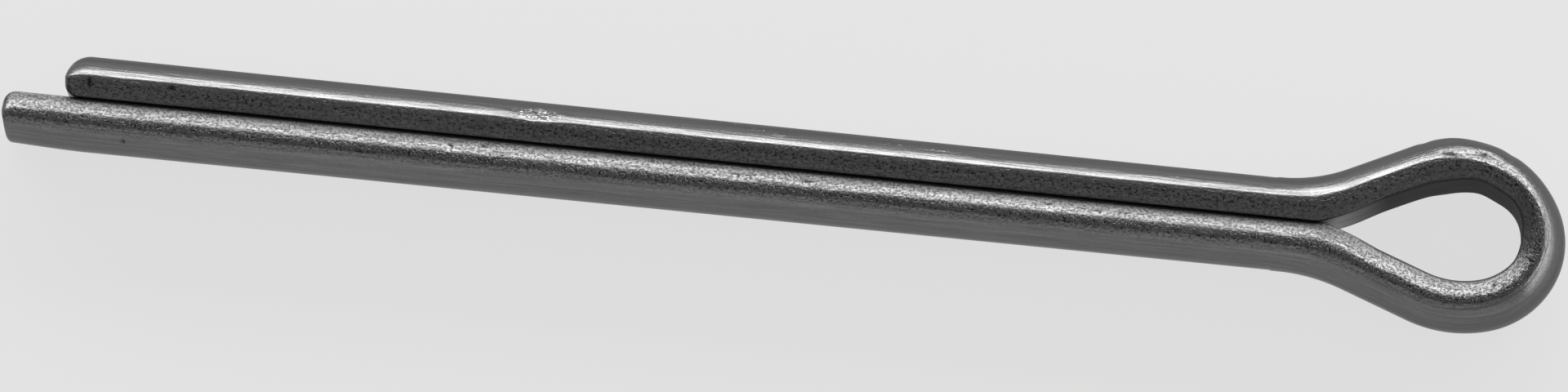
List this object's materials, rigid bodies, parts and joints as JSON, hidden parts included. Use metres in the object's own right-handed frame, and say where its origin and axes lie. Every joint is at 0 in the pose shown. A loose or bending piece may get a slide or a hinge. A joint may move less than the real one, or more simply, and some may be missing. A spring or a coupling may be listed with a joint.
{
  "type": "cotter pin",
  "caption": "Split cotter pin bent from half-round steel wire, with a teardrop eye and straight closed legs of unequal length.",
  "frame": {"origin": "on the shank's axis, where the short leg starts to bend into the eye", "axes": "+X along the shank towards the eye, +Y towards the short leg, +Z out of the plane the eye's loop lies in"},
  "size_m": [0.0969, 0.012, 0.0054],
  "materials": {
    "steel": "bare drawn steel wire, darkened, with fine lines along its length"
  },
  "bodies": {
    "root": {"cotter_pin": "steel"}
  },
  "joints": []
}
